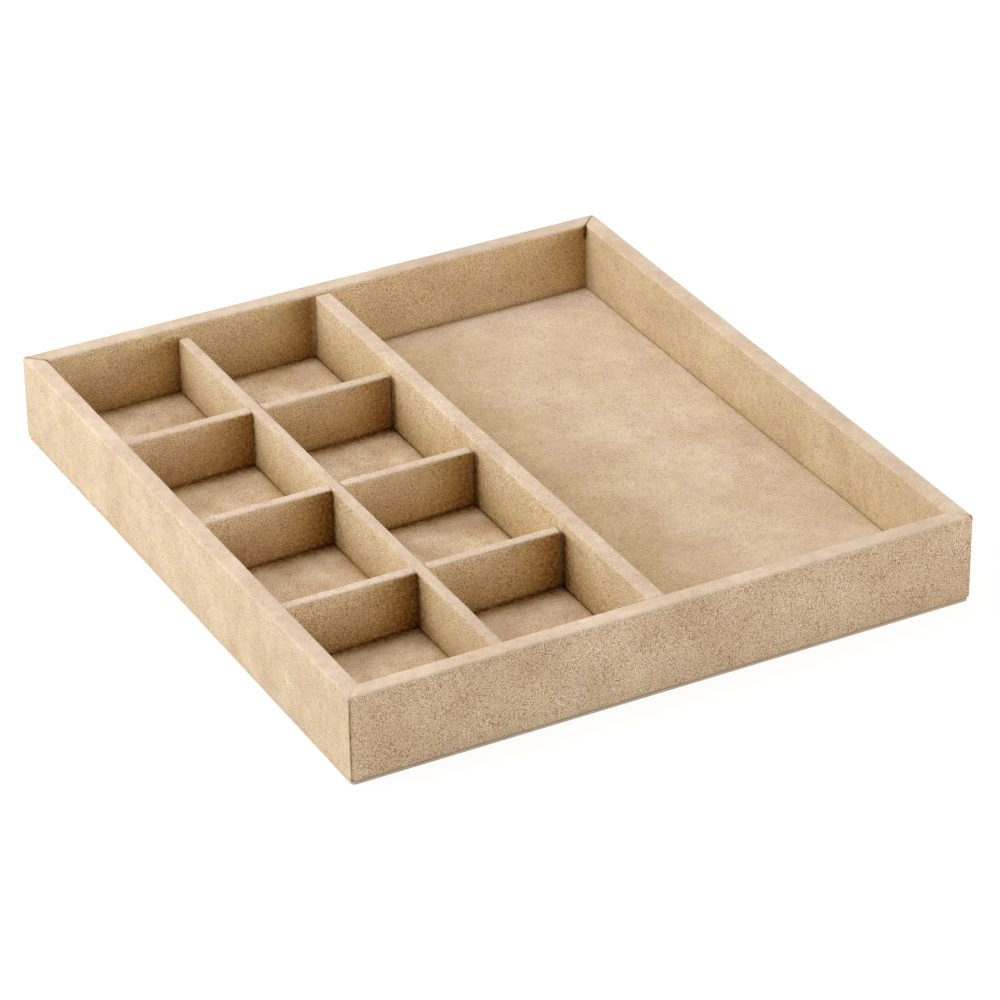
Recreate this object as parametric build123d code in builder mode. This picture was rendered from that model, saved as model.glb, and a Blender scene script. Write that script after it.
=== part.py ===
from build123d import *
from math import sqrt
import os

# A shallow jewelry tray with nine compartments, covered in microsuede.
# X runs along the front wall, Y from the front wall to the back wall, Z up from the surface it stands on.
# All sizes are in millimetres.

# The tray as a whole
tray_width = 283.0
tray_depth = 317.0
tray_height = 40.0

# Suede, one thickness everywhere
suede_thickness = 0.7

# Wall rails of fibreboard, eased along every edge, and the suede strip round each
wall_core_thickness = 7.0
rail_ease = 0.3
wall_edge_radius = 1.3
wall_turn_in = 12.0
mitre_gap = 0.2

# Base: a pale cover board under everything, and a panel let into rebates in the rails
cover_thickness = 1.2
cover_inset = 0.5
cover_corner_radius = 2.0
panel_thickness = 3.0
panel_clearance = 0.2
rebate_width = 4.0

# Floors: a square-cut greyboard on each side of the main divider, with suede folded round it
board_thickness = 2.0
board_corner_radius = 0.8
floor_edge_radius = 1.1
floor_clearance = 0.4
floor_turn_in = 15.0

# Main divider, between the small compartments on the left and the large one on the right
main_core_thickness = 6.5
main_drop = 1.0
main_shift = 1.0
main_edge_radius = 1.4
main_end_core_radius = 1.2

# Centre divider, from front to back down the middle of the left side
centre_core_thickness = 4.0
centre_drop = 5.2

# Cross dividers, from the left wall to the main divider
cross_core_thickness = 4.0
cross_drop = 5.5
cross_count = 3

# Both kinds of thin divider
thin_edge_radius = 1.3
thin_end_core_radius = 1.0

# All dividers: how the strip inside is eased, how it ends, and how its suede is tucked under
strip_ease = 0.3
strip_end_clearance = 0.3
strip_turn_in = 1.8
lap_clearance = 0.2
lap_height_share = 0.5

# One overrun for every cut that has to pass right through
overrun = 2.0

# Sizes that follow from these
wall_thickness = wall_core_thickness + 2 * suede_thickness
main_thickness = main_core_thickness + 2 * suede_thickness
centre_thickness = centre_core_thickness + 2 * suede_thickness
cross_thickness = cross_core_thickness + 2 * suede_thickness
rail_foot = cover_thickness + suede_thickness
rebate_start = suede_thickness + wall_core_thickness - rebate_width
panel_top = rail_foot + panel_thickness
board_foot = panel_top + suede_thickness
board_top = board_foot + board_thickness
floor_top = board_top + suede_thickness

inner_width = tray_width - 2 * wall_thickness
inner_depth = tray_depth - 2 * wall_thickness
left_face = -inner_width / 2
right_face = inner_width / 2
main_left = -main_shift - main_thickness / 2
main_right = -main_shift + main_thickness / 2
small_side_width = main_left - left_face
large_side_width = right_face - main_right
centre_x = left_face + small_side_width / 2
small_side_depth = (inner_depth - cross_count * cross_thickness) / (cross_count + 1)
cross_places = [
    (row + 1) * (small_side_depth + cross_thickness) - cross_thickness / 2 - inner_depth / 2
    for row in range(cross_count)
]
main_top = tray_height - main_drop
centre_top = tray_height - centre_drop
cross_top = tray_height - cross_drop
lap_level = floor_top + lap_height_share * (cross_top - floor_top)


def place_on_floor(x, y, turn=0):
    """A level plane whose X axis runs along a piece, turned that many degrees from the tray's X axis."""
    return Plane(Location((x, y, 0), (0, 0, turn)))


def save(piece, name):
    """Label a finished piece and write it to its own file."""
    piece.part.label = name
    export_step(piece.part, f"parts/{name}.step")


os.makedirs("parts", exist_ok=True)


# Cover board: the lowest piece, set in a little from the walls
with BuildPart() as bottom_cover:
    with BuildSketch():
        RectangleRounded(
            tray_width - 2 * cover_inset,
            tray_depth - 2 * cover_inset,
            cover_corner_radius,
        )
    extrude(amount=cover_thickness)
save(bottom_cover, "bottom_cover")

# Base panel: sits in the rebates of the four rails
with BuildPart() as base_panel:
    panel_margin = rebate_start + panel_clearance
    with BuildSketch(Plane.XY.offset(rail_foot)):
        Rectangle(tray_width - 2 * panel_margin, tray_depth - 2 * panel_margin)
    extrude(amount=panel_thickness)
save(base_panel, "base_panel")


# Walls: the frame of rails and its suede are each drawn whole, then cut into four at the mitres

def open_frame(margin, foot, opening_foot, soften, amount):
    """A block a margin inside the tray's outline with an opening in it, its edges chamfered or filleted."""
    opening_margin = wall_thickness - margin
    with BuildPart() as frame:
        with BuildSketch(Plane.XY.offset(foot)):
            Rectangle(tray_width - 2 * margin, tray_depth - 2 * margin)
        extrude(amount=tray_height - margin - foot)
        soften(frame.edges(), amount)
        with BuildSketch(Plane.XY.offset(opening_foot)):
            Rectangle(tray_width - 2 * opening_margin, tray_depth - 2 * opening_margin)
        extrude(amount=tray_height - opening_foot + overrun, mode=Mode.SUBTRACT)
        rim = frame.faces().filter_by(Axis.Z).sort_by(Axis.Z)[-1]
        soften(rim.inner_wires().edges(), amount)
    return frame.part


rebate_size = (tray_width - 2 * rebate_start, tray_depth - 2 * rebate_start)
turn_in_size = (tray_width - 2 * wall_turn_in, tray_depth - 2 * wall_turn_in)

# All four rails: the panel's rebate runs round the inner foot
with BuildPart() as rail_frame:
    add(open_frame(suede_thickness, rail_foot, rail_foot - overrun, chamfer, rail_ease))
    with BuildSketch(Plane.XY.offset(rail_foot - overrun)):
        Rectangle(*rebate_size)
    extrude(amount=panel_thickness + overrun, mode=Mode.SUBTRACT)

# The suede of all four walls: it stops at the panel inside, and is turned in under the rails and the panel
with BuildPart() as suede_frame:
    add(open_frame(0, cover_thickness, panel_top, fillet, wall_edge_radius))
    add(rail_frame.part, mode=Mode.SUBTRACT)
    with BuildSketch(Plane.XY.offset(rail_foot)):
        Rectangle(*rebate_size)
    extrude(amount=panel_thickness, mode=Mode.SUBTRACT)
    with BuildSketch(Plane.XY.offset(cover_thickness - overrun)):
        Rectangle(*turn_in_size)
    extrude(amount=suede_thickness + overrun, mode=Mode.SUBTRACT)


def between_mitres(side, gap):
    """The space that one wall keeps when the frame is cut at its corners, a gap apart."""
    place, length = side
    half = length / 2 + overrun - gap / 2 * sqrt(2)
    reach = wall_turn_in + overrun
    with BuildPart() as space:
        with BuildSketch(place):
            Polygon(
                (-half, -overrun),
                (half, -overrun),
                (half - overrun - reach, reach),
                (overrun + reach - half, reach),
                align=None,
            )
        extrude(amount=tray_height + overrun)
    return space.part


walls = {
    "front": (place_on_floor(0, -tray_depth / 2), tray_width),
    "right": (place_on_floor(tray_width / 2, 0, turn=90), tray_depth),
    "back": (place_on_floor(0, tray_depth / 2, turn=180), tray_width),
    "left": (place_on_floor(-tray_width / 2, 0, turn=-90), tray_depth),
}

for name, side in walls.items():
    # Rail: fibreboard, rebated along its inner foot for the base panel
    with BuildPart() as wall_core:
        add(rail_frame.part)
        add(between_mitres(side, 0), mode=Mode.INTERSECT)
    save(wall_core, f"{name}_wall_core")

    # Suede: up the outer face, over the rim, down the inner face to the panel, and turned in underneath
    with BuildPart() as wall_wrap:
        add(suede_frame.part)
        add(between_mitres(side, mitre_gap), mode=Mode.INTERSECT)
    save(wall_wrap, f"{name}_wall_wrap")


# Floors: one on each side of the main divider, dropped in on the base panel

floors = {
    "small_side": (centre_x, small_side_width),
    "large_side": ((main_right + right_face) / 2, large_side_width),
}

for side, (middle, width) in floors.items():
    board_margin = floor_clearance + suede_thickness

    # Board: cut square, with its corners just rounded
    with BuildPart() as floor_board:
        with BuildSketch(place_on_floor(middle, 0).offset(board_foot)):
            RectangleRounded(
                width - 2 * board_margin,
                inner_depth - 2 * board_margin,
                board_corner_radius,
            )
        extrude(amount=board_thickness)
    save(floor_board, f"{side}_floor_board")

    # Suede: over the top and the edges of the board, and turned in under it
    with BuildPart() as floor_suede:
        with BuildSketch(place_on_floor(middle, 0).offset(panel_top)):
            RectangleRounded(
                width - 2 * floor_clearance,
                inner_depth - 2 * floor_clearance,
                board_corner_radius + suede_thickness,
            )
        extrude(amount=floor_top - panel_top)
        fillet(floor_suede.faces().sort_by(Axis.Z)[-1].edges(), floor_edge_radius)
        add(floor_board.part, mode=Mode.SUBTRACT)
        with BuildSketch(place_on_floor(middle, 0).offset(panel_top)):
            Rectangle(width - 2 * floor_turn_in, inner_depth - 2 * floor_turn_in)
        extrude(amount=suede_thickness, mode=Mode.SUBTRACT)
    save(floor_suede, f"{side}_floor_suede")


# Dividers: strips on edge, each covered all round by suede that is tucked under its foot

def strip_on_edge(place, size, foot, top, end_radius, soften, amount):
    """A strip along the plane's X axis, with round upper corners and all but its foot edges softened."""
    length, thickness = size
    side_view = Plane(origin=place.origin, x_dir=place.x_dir, z_dir=-place.y_dir)
    with BuildPart() as strip:
        with BuildSketch(side_view) as outline:
            with Locations((0, foot)):
                Rectangle(length, top - foot, align=(Align.CENTER, Align.MIN))
            fillet(outline.vertices().group_by(Axis.Y)[-1], end_radius)
        extrude(amount=thickness / 2, both=True)
        broad_edges = strip.faces().filter_by(side_view).edges()
        foot_edges = broad_edges.group_by(Axis.Z)[0]
        soften(broad_edges - foot_edges, amount)
    return strip.part


def strip_core(place, size, foot, top, end_radius):
    """The bare strip, lifted by the suede under its foot."""
    core_foot, core_top = foot + suede_thickness, top - suede_thickness
    return strip_on_edge(place, size, core_foot, core_top, end_radius, chamfer, strip_ease)


def strip_wrap(place, size, foot, top, end_radius, edge_radius):
    """The outside of the suede on that strip, which has a rounded foot too, less the gap under its foot."""
    length, thickness = size[0] + 2 * suede_thickness, size[1] + 2 * suede_thickness
    outer_radius = end_radius + suede_thickness
    outer = strip_on_edge(place, (length, thickness), foot, top, outer_radius, fillet, edge_radius)
    with BuildPart() as wrap:
        add(outer)
        fillet(wrap.faces().sort_by(Axis.Z)[0].edges(), suede_thickness)
        with BuildSketch(place.offset(foot)):
            Rectangle(length - 2 * strip_turn_in, thickness - 2 * strip_turn_in)
        extrude(amount=suede_thickness, mode=Mode.SUBTRACT)
    return wrap.part


# Main divider: stands on the base panel between the two floors
main_place = place_on_floor(-main_shift, 0, turn=90)
main_core_length = inner_depth - 2 * strip_end_clearance - 2 * suede_thickness
main_shape = (
    main_place,
    (main_core_length, main_core_thickness),
    panel_top,
    main_top,
    main_end_core_radius,
)

with BuildPart() as main_divider_core:
    add(strip_core(*main_shape))
save(main_divider_core, "main_divider_core")

with BuildPart() as main_divider_wrap:
    add(strip_wrap(*main_shape, main_edge_radius))
    add(main_divider_core.part, mode=Mode.SUBTRACT)
save(main_divider_wrap, "main_divider_wrap")


# Centre divider: three slots open at its foot let the cross dividers pass
centre_place = place_on_floor(centre_x, 0, turn=90)
centre_core_length = inner_depth - 2 * strip_end_clearance - 2 * suede_thickness
centre_shape = (
    centre_place,
    (centre_core_length, centre_core_thickness),
    floor_top,
    centre_top,
    thin_end_core_radius,
)


def foot_slots():
    """The slots in the centre divider, from below its foot up to the lap."""
    with BuildSketch(Plane.XY.offset(floor_top - overrun)) as slots:
        for y in cross_places:
            with Locations((centre_x, y)):
                Rectangle(centre_thickness + 2 * overrun, cross_thickness + 2 * lap_clearance)
    return slots.sketch


foot_slot_height = lap_level + lap_clearance - floor_top + overrun

with BuildPart() as centre_divider_core:
    add(strip_core(*centre_shape))
    extrude(foot_slots(), amount=foot_slot_height, mode=Mode.SUBTRACT)
save(centre_divider_core, "centre_divider_core")

with BuildPart() as centre_divider_wrap:
    add(strip_wrap(*centre_shape, thin_edge_radius))
    add(strip_core(*centre_shape), mode=Mode.SUBTRACT)
    extrude(foot_slots(), amount=foot_slot_height, mode=Mode.SUBTRACT)
save(centre_divider_wrap, "centre_divider_wrap")


# Cross dividers: each has one slot open at its top, and laps with the centre divider at half height
cross_core_length = small_side_width - 2 * strip_end_clearance - 2 * suede_thickness


def top_slot(y):
    """The slot in a cross divider, from the lap up past its top."""
    with BuildSketch(Plane.XY.offset(lap_level)) as slot:
        with Locations((centre_x, y)):
            Rectangle(centre_thickness + 2 * lap_clearance, cross_thickness + 2 * overrun)
    return slot.sketch


for number, y in enumerate(cross_places, start=1):
    cross_shape = (
        place_on_floor(centre_x, y),
        (cross_core_length, cross_core_thickness),
        floor_top,
        cross_top,
        thin_end_core_radius,
    )
    top_slot_height = cross_top - lap_level + overrun

    with BuildPart() as cross_divider_core:
        add(strip_core(*cross_shape))
        extrude(top_slot(y), amount=top_slot_height, mode=Mode.SUBTRACT)
    save(cross_divider_core, f"cross_divider_core_{number}")

    with BuildPart() as cross_divider_wrap:
        add(strip_wrap(*cross_shape, thin_edge_radius))
        add(strip_core(*cross_shape), mode=Mode.SUBTRACT)
        extrude(top_slot(y), amount=top_slot_height, mode=Mode.SUBTRACT)
    save(cross_divider_wrap, f"cross_divider_wrap_{number}")
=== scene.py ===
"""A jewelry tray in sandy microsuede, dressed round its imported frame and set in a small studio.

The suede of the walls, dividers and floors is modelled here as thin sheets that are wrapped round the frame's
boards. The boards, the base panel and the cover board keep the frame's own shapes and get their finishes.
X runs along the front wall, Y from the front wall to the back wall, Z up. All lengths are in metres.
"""
import logging
from collections.abc import Callable
from dataclasses import dataclass, replace
from enum import Enum
from functools import partial
from math import cos, exp, hypot, radians, sin, sqrt

import bmesh
import bpy
from mathutils import Matrix, Vector, noise


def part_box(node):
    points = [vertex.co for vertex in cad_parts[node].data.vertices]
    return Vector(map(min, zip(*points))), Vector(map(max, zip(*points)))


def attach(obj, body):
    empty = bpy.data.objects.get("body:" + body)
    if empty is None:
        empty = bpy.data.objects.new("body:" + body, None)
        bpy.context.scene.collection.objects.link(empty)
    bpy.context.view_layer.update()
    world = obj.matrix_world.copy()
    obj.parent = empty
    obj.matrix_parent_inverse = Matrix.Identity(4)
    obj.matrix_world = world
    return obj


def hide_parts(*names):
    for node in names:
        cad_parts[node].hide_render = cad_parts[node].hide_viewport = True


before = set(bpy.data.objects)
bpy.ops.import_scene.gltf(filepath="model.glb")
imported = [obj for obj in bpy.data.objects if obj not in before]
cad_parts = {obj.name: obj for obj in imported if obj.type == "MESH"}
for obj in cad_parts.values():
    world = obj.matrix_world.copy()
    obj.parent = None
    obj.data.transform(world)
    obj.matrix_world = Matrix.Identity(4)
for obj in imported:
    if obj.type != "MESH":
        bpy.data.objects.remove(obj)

Triple = tuple[float, float, float]
Colour = Triple
Corners = tuple[Vector, Vector]
SeamShade = Callable[[Vector], float]
Socket = bpy.types.NodeSocket
Span = tuple[float, float]
Unevenness = tuple[tuple[float, float], ...]

MM = 0.001
AXES = (Vector((1.0, 0.0, 0.0)), Vector((0.0, 1.0, 0.0)), Vector((0.0, 0.0, 1.0)))
Z = 2
UP = AXES[Z]
SHARP = radians(50)
# A face is upright up to the first of these upturns, and level from the second.
UPTURNS: Span = (0.2, 0.8)
CROSS_NUMBERS = (1, 2, 3)
BODY = "root"
LOG = logging.getLogger("tray")
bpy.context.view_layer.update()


class Side(Enum):
    """The four walls, each with the way that it faces."""

    FRONT = (0.0, -1.0)
    RIGHT = (1.0, 0.0)
    BACK = (0.0, 1.0)
    LEFT = (-1.0, 0.0)

    @property
    def word(self) -> str:
        """The wall's name as the frame spells it."""
        return self.name.lower()

    @property
    def outward(self) -> Vector:
        """The unit vector out of the tray, square to the wall."""
        return Vector((*self.value, 0.0))

    @property
    def along(self) -> Vector:
        """The unit vector along the wall, anticlockwise as seen from above."""
        return Vector((-self.value[1], self.value[0], 0.0))


class Run(Enum):
    """The axis of the tray that a divider runs along."""

    ACROSS = 0
    FRONT_TO_BACK = 1


def linear(red: int, green: int, blue: int) -> Colour:
    """Turns a screen colour, with parts from 0 to 255, into the linear values that a shader takes."""
    shares = [part / 255 for part in (red, green, blue)]
    return tuple(s / 12.92 if s <= 0.04045 else ((s + 0.055) / 1.055) ** 2.4 for s in shares)


def ease(value: float, start: float, end: float) -> float:
    """Rises smoothly from 0 to 1 as a value goes from start to end, which may be lower than the start."""
    share = min(1.0, max(0.0, (value - start) / (end - start)))
    return share * share * (3.0 - 2.0 * share)


def mix(first: float, second: float, share: float) -> float:
    """The value that lies a share of the way from the first to the second."""
    return first + (second - first) * share


def way_to(azimuth: float, elevation: float) -> Vector:
    """The unit vector to a place in the studio; azimuth 0 is in front of the tray and 90 at its right."""
    turn, lift = radians(azimuth), radians(elevation)
    return Vector((sin(turn) * cos(lift), -cos(turn) * cos(lift), sin(lift)))


def add_object(name: str, data: bpy.types.ID) -> bpy.types.Object:
    """Makes an object of a mesh, a lamp or a camera and adds it to the scene.

    Args:
        name: The object's name.
        data: Its mesh, lamp or camera.

    Returns:
        The object, at the origin.
    """
    obj = bpy.data.objects.new(name, data)
    bpy.context.scene.collection.objects.link(obj)
    return obj


def add_mesh(name: str, mesh: bmesh.types.BMesh) -> bpy.types.Object:
    """Makes an object of a finished bmesh, which is freed.

    Args:
        name: The object's name.
        mesh: Its faces.

    Returns:
        The object, at the origin.
    """
    data = bpy.data.meshes.new(name)
    mesh.to_mesh(data)
    mesh.free()
    return add_object(name, data)


def runs_along(edge: bmesh.types.BMEdge, axis: int) -> bool:
    """Whether an edge of a block runs along an axis."""
    return abs((edge.verts[0].co - edge.verts[1].co)[axis]) > MM


class Graph:
    """A material or world whose nodes are added one by one."""

    def __init__(self, owner: bpy.types.ID) -> None:
        """Clears the owner's nodes.

        Args:
            owner: A new material or world.
        """
        owner.use_nodes = True
        self.owner = owner
        self.tree = owner.node_tree
        self.tree.nodes.clear()

    def add(self, kind: str, inputs: dict[str, object], **settings: object) -> bpy.types.Node:
        """Adds a node.

        Args:
            kind: The node's type, without its ShaderNode prefix.
            inputs: A socket, a number or a colour for each input, by the input's name or place.
            **settings: Attributes of the node.

        Returns:
            The new node.
        """
        node = self.tree.nodes.new(f"ShaderNode{kind}")
        for name, value in settings.items():
            setattr(node, name, value)
        for name, value in inputs.items():
            if isinstance(value, Socket):
                self.tree.links.new(value, node.inputs[name])
            else:
                node.inputs[name].default_value = value
        return node

    def math(self, operation: str, *values: object) -> Socket:
        """Adds a sum of sockets or numbers, in the Math node's order, and returns its result."""
        return self.add("Math", dict(enumerate(values)), operation=operation).outputs[0]

    def span(self, value: Socket, source: Span, result: Span) -> Socket:
        """Maps a value from its source range to the range of the result, and holds it at both ends."""
        names = ("From Min", "From Max", "To Min", "To Max")
        return self.add("MapRange", {"Value": value, **dict(zip(names, (*source, *result)))}).outputs[0]

    def ramp(self, factor: Socket, *stops: tuple[float, Colour]) -> Socket:
        """Adds a colour ramp.

        Args:
            factor: What the ramp reads.
            *stops: The place of each stop, rising, and its linear colour.

        Returns:
            The ramp's colour.
        """
        node = self.add("ValToRGB", {"Fac": factor})
        elements = node.color_ramp.elements
        for _ in stops[2:]:
            elements.new(0.5)
        for element, (place, colour) in zip(elements, stops):
            element.position = place
            element.color = (*colour, 1.0)
        return node.outputs["Color"]

    def noise(self, vector: Socket, size: float, detail: float = 2.0) -> Socket:
        """Adds a soft noise from 0 to 1, with blotches of a size in metres and some finer octaves."""
        return self.add("TexNoise", {"Vector": vector, "Scale": 1.0 / size, "Detail": detail}).outputs[0]

    def attribute(self, name: str) -> Socket:
        """Reads a number that the mesh carries at its vertices."""
        return self.add("Attribute", {}, attribute_name=name).outputs["Fac"]

    def deepen(self, colour: Socket, tint: Colour, depth: Socket) -> Socket:
        """Multiplies a colour by a tint as many times as the depth says, which may be less than zero."""
        power = self.add("Gamma", {"Color": (*tint, 1.0), "Gamma": depth}).outputs[0]
        return self.add("VectorMath", {0: colour, 1: power}, operation="MULTIPLY").outputs[0]

    def part_rays(self, output: str, plain: bpy.types.Node, white: bpy.types.Node) -> None:
        """Ends the graph in one shader for what is seen and another for what only lights the tray.

        Args:
            output: The type of the output node.
            plain: The shader that lights the tray.
            white: The shader for rays from the camera, a mirror or a clear piece.
        """
        rays = self.add("LightPath", {}).outputs
        seen = self.math("MAXIMUM", rays["Is Camera Ray"], rays["Is Glossy Ray"])
        seen = self.math("MAXIMUM", seen, rays["Is Transmission Ray"])
        parted = self.add("MixShader", {"Fac": seen, 1: plain.outputs[0], 2: white.outputs[0]})
        self.add(output, {"Surface": parted.outputs[0]})


@dataclass(frozen=True)
class Suede:
    """Microsuede: a short dense nap, with painted light by facing and painted shade where pieces meet."""

    # The colours of upright faces, rounded arrises and level tops paint the light by facing, the tops with a
    # painted sheen, less yellow than the upright faces.
    upright: Colour
    arris: Colour
    level: Colour
    deeper: Colour = (0.37, 0.235, 0.15)
    # The tint that the painted shade darkens the colour towards.
    shade_tint: Colour = (0.37, 0.24, 0.088)
    tanner: Colour = (0.98, 1.03, 0.86)
    colour_upturns: Triple = (0.15, 0.5, 0.85)
    nap_size: float = 0.38 * MM
    nap_depth: float = 1.5
    nap_middle: float = 0.53
    upright_nap: float = 0.8
    level_nap: float = 0.45
    hue_size: float = 11 * MM
    hue_depth: float = 1.3
    hue_shift: Triple = (0.3, 0.7, 0.2)
    speck_size: float = 1.6 * MM
    speck_depth: float = 1.8
    # The share of the painted shade that is left where the specks are faintest.
    least_painted_shade: float = 0.1
    mottle_size: float = 5 * MM
    mottle_depth: float = 0.3
    blotch_size: float = 24 * MM
    blotch_depth: float = 0.4
    relief: float = 0.12 * MM
    sheen: float = 0.25
    # The painted shade over which the sheen fades out.
    sheen_loss: Span = (0.5, 1.3)

    def material(self, name: str, shift: Vector, stretch: float = 1.0) -> bpy.types.Material:
        """Makes the suede of one piece, so that no pattern runs on over a seam.

        Args:
            name: The material's name.
            shift: Where the piece was cut from the roll, in metres.
            stretch: How long the nap lies in height, as a share of its size.

        Returns:
            The material.
        """
        graph = Graph(bpy.data.materials.new(name))
        place = graph.add("TexCoord", {}).outputs["Object"]
        cloth = graph.add("Mapping", {"Vector": place, "Location": shift}).outputs[0]
        pile = graph.add("Mapping", {"Vector": cloth, "Scale": (1.0, 1.0, 1.0 / stretch)}).outputs[0]
        upturn = graph.attribute("upturn")
        tufts = graph.add("TexVoronoi", {"Vector": pile, "Scale": 1.0 / self.nap_size}).outputs["Distance"]
        mottle = graph.noise(cloth, self.mottle_size)
        blotches = graph.noise(cloth, self.blotch_size, detail=3.0)
        aside = graph.add("Mapping", {"Vector": cloth, "Location": self.hue_shift}).outputs[0]
        hue = graph.math("SUBTRACT", graph.noise(aside, self.hue_size), 0.5)
        hue = graph.math("MULTIPLY", hue, self.hue_depth)
        # Painted light: the nap's contrast changes with facing, and stands for how grazing the light falls on
        # each face.
        nap = graph.span(upturn, UPTURNS, (self.upright_nap, self.level_nap))
        patches = graph.math("MULTIPLY", nap, graph.math("MULTIPLY", mottle, 2.0 * self.nap_depth))
        depth = graph.math("MULTIPLY", graph.math("SUBTRACT", tufts, self.nap_middle), patches)
        for pattern, share in ((mottle, self.mottle_depth), (blotches, self.blotch_depth)):
            depth = graph.math("MULTIPLY_ADD", graph.math("SUBTRACT", pattern, 0.5), share, depth)
        # Painted shade: the shade that the mesh carries, made uneven by the specks, darkens the colour
        # towards the shade tint, and the sheen fades where it is deep.
        specks = graph.noise(cloth, self.speck_size)
        unevenness = graph.math("MULTIPLY_ADD", specks, self.speck_depth, self.least_painted_shade)
        fold = graph.math("MULTIPLY", graph.attribute("fold"), unevenness)
        # Painted light: the colour follows the facing, from upright faces through arrises to level tops.
        colour = graph.ramp(upturn, *zip(self.colour_upturns, (self.upright, self.arris, self.level)))
        colour = graph.deepen(colour, self.tanner, hue)
        colour = graph.deepen(graph.deepen(colour, self.deeper, depth), self.shade_tint, fold)
        sheen = graph.span(fold, self.sheen_loss, (self.sheen, 0.0))
        bump = graph.add("Bump", {"Height": tufts, "Distance": self.relief}, invert=True)
        shader = graph.add("BsdfPrincipled", {
            "Base Color": colour,
            "Roughness": 0.95,
            "Specular IOR Level": 0.2,
            "Sheen Weight": sheen,
            "Sheen Roughness": 0.5,
            "Normal": bump.outputs[0],
        })
        graph.add("OutputMaterial", {"Surface": shader.outputs[0]})
        return graph.owner


@dataclass(frozen=True)
class Board:
    """A pressed board: flecks in a plain ground, with clouds many flecks wide, dull and a little rough."""

    ground: Colour
    fleck: Colour
    fleck_size: float
    fleck_length: float
    relief: float
    cloud_size: float = 20.0
    cloud_share: float = 0.3
    tones: Span = (0.35, 0.6)

    def material(self, name: str) -> bpy.types.Material:
        """Makes the board's material.

        Args:
            name: The material's name.

        Returns:
            The material.
        """
        graph = Graph(bpy.data.materials.new(name))
        place = graph.add("TexCoord", {}).outputs["Object"]
        stretched = graph.add("Mapping", {"Vector": place, "Scale": (1.0, 1.0 / self.fleck_length, 1.0)})
        flecks = graph.noise(stretched.outputs[0], self.fleck_size, detail=4.0)
        clouds = graph.noise(place, self.cloud_size * self.fleck_size)
        rest = graph.math("MULTIPLY", flecks, 1.0 - self.cloud_share)
        tone = graph.math("MULTIPLY_ADD", clouds, self.cloud_share, rest)
        colour = graph.ramp(tone, *zip(self.tones, (self.fleck, self.ground)))
        bump = graph.add("Bump", {"Height": flecks, "Strength": 0.6, "Distance": self.relief})
        shader = graph.add("BsdfPrincipled", {
            "Base Color": colour,
            "Roughness": 0.85,
            "Specular IOR Level": 0.3,
            "Normal": bump.outputs[0],
        })
        graph.add("OutputMaterial", {"Surface": shader.outputs[0]})
        return graph.owner


# Painted light and shade: each wall, divider and floor has its own lit or shaded copy of the suede's colours,
# lighter where more light falls on it and darker on the small floors, where shade falls. The lighter arris
# colour is a painted highlight along the arrises of the main divider and the right wall, and the nap contrast
# of each wall stands for how grazing its light is.
HIGHLIT_ARRIS = linear(218, 195, 165)
SUEDE = Suede(upright=linear(215, 190, 150), arris=linear(209, 186, 157), level=linear(213, 189, 163))
FLOOR_SUEDE = replace(SUEDE, level=linear(216, 191, 163), level_nap=0.55)
SMALL_FLOOR_SUEDE = replace(
    SUEDE, level=linear(207, 178, 144), level_nap=0.85,
    mottle_depth=0.45, blotch_size=18 * MM, blotch_depth=0.9,
)
MAIN_SUEDE = replace(SUEDE, upright=linear(223, 200, 163), arris=HIGHLIT_ARRIS)
CENTRE_SUEDE = replace(SUEDE, upright=linear(222, 199, 161), level=linear(208, 184, 158))
CROSS_SUEDES = tuple(
    replace(SUEDE, upright=upright, level=level, upright_nap=0.87)
    for upright, level in (
        (linear(246, 217, 175), linear(217, 193, 167)),
        (linear(236, 206, 163), linear(214, 190, 164)),
        (linear(229, 197, 153), linear(208, 184, 158)),
    )
)
WALL_SUEDES = {
    side: replace(SUEDE, upright=upright, arris=arris, level=level, upright_nap=nap, level_nap=0.28)
    for side, upright, arris, level, nap in (
        (Side.FRONT, linear(209, 179, 144), SUEDE.arris, linear(217, 192, 165), 0.86),
        (Side.RIGHT, linear(213, 190, 154), HIGHLIT_ARRIS, linear(214, 189, 162), 0.5),
        (Side.BACK, linear(224, 194, 151), SUEDE.arris, linear(209, 185, 160), 0.8),
        (Side.LEFT, linear(202, 178, 145), SUEDE.arris, linear(212, 188, 163), 0.45),
    )
}
FIBREBOARD = Board(linear(158, 122, 84), linear(112, 80, 50), 0.8 * MM, 3.0, 0.1 * MM)
GREYBOARD = Board(linear(150, 147, 140), linear(108, 104, 98), 0.6 * MM, 2.0, 0.08 * MM)
COVER_PAPER = Board(linear(216, 199, 173), linear(194, 176, 150), 0.5 * MM, 2.0, 0.04 * MM)


@dataclass(frozen=True)
class Fold:
    """How much painted shade lies along a line where two pieces meet, and how it fades; a negative depth
    paints light.
    """

    depth: float
    reach: float
    steepness: float = 1.0

    def at(self, distance: float) -> float:
        """The depth that is left at a distance from the line."""
        return self.depth * exp(-((max(distance, 0.0) / self.reach) ** self.steepness))


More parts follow.
